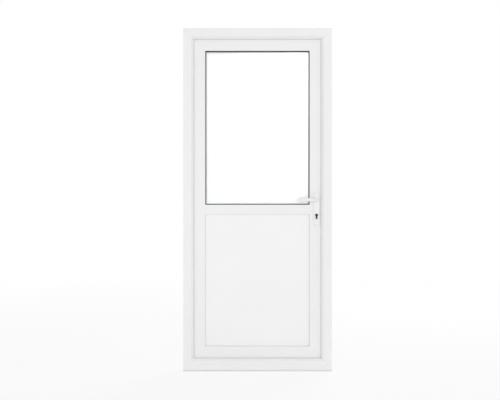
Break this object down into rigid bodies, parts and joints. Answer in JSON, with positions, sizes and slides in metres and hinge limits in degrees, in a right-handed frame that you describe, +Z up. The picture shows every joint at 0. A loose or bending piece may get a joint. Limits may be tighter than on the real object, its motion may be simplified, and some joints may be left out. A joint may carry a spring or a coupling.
{
  "type": "half-glazed plastic door with frosted glass",
  "caption": "White plastic entrance door in its frame, frosted glass above a plain panel, with lever handles, a lock cylinder and hinges; the leaf opens inwards.",
  "frame": {"origin": "middle of the underside of the base strip, at half the depth of the frame", "axes": "+X to the right seen from outside, +Y from outside to inside, +Z up"},
  "size_m": [0.89, 0.189, 2.055],
  "materials": {
    "white_plastic": "smooth white, slightly glossy",
    "panel_plastic": "smooth white, satin",
    "frosted_glass": "frosted",
    "clear_glass": "clear",
    "glazing_rubber": "black, matt",
    "panel_rubber": "pale grey, matt",
    "seal_rubber": "grey, matt",
    "aluminium": "mill finish",
    "steel": "brushed",
    "coated_metal": "white powder coat",
    "lock_brass": "dark bronze"
  },
  "bodies": {
    "frame": {"frame_head": "white_plastic", "frame_hinge_jamb": "white_plastic", "frame_lock_jamb": "white_plastic", "frame_bottom_rail": "white_plastic", "base_strip": "aluminium", "frame_seal": "seal_rubber", "lock_keep": "steel", "hook_keeps": "steel", "bottom_hinge_frame_half": "coated_metal", "bottom_hinge_pin": "steel", "middle_hinge_frame_half": "coated_metal", "middle_hinge_pin": "steel", "top_hinge_frame_half": "coated_metal", "top_hinge_pin": "steel"},
    "leaf": {"leaf_top_rail": "white_plastic", "leaf_bottom_rail": "white_plastic", "leaf_hinge_stile": "white_plastic", "leaf_lock_stile": "white_plastic", "mid_rail": "white_plastic", "leaf_seal": "seal_rubber", "glass_outer_pane": "frosted_glass", "glass_inner_pane": "clear_glass", "glass_spacer": "aluminium", "glass_gaskets": "glazing_rubber", "infill_panel": "panel_plastic", "panel_gaskets": "panel_rubber", "lock_faceplate": "steel", "lock_bolts": "steel", "lock_cylinder": "lock_brass", "outside_backplate": "coated_metal", "inside_backplate": "coated_metal", "glass_bead_left": "white_plastic", "panel_bead_left": "white_plastic", "glass_bead_right": "white_plastic", "panel_bead_right": "white_plastic", "glass_bead_bottom": "white_plastic", "panel_bead_bottom": "white_plastic", "glass_bead_top": "white_plastic", "panel_bead_top": "white_plastic", "bottom_hinge_leaf_half": "coated_metal", "middle_hinge_leaf_half": "coated_metal", "top_hinge_leaf_half": "coated_metal"},
    "levers": {"outside_lever": "coated_metal", "inside_lever": "coated_metal", "spindle": "steel"}
  },
  "joints": [
    {"name": "door_swing", "type": "hinge", "parent": "frame", "child": "leaf", "pos_m": [-0.421, 0.062, 0], "axis": [0, 0, 1], "range_deg": [0, 100]},
    {"name": "lever_turn", "type": "hinge", "parent": "leaf", "child": "levers", "pos_m": [0.355, 0.023, 1.0265], "axis": [0, -1, 0], "range_deg": [0, 40], "stiffness_Nm_per_rad": 1.5, "springref_deg": -34.38}
  ]
}
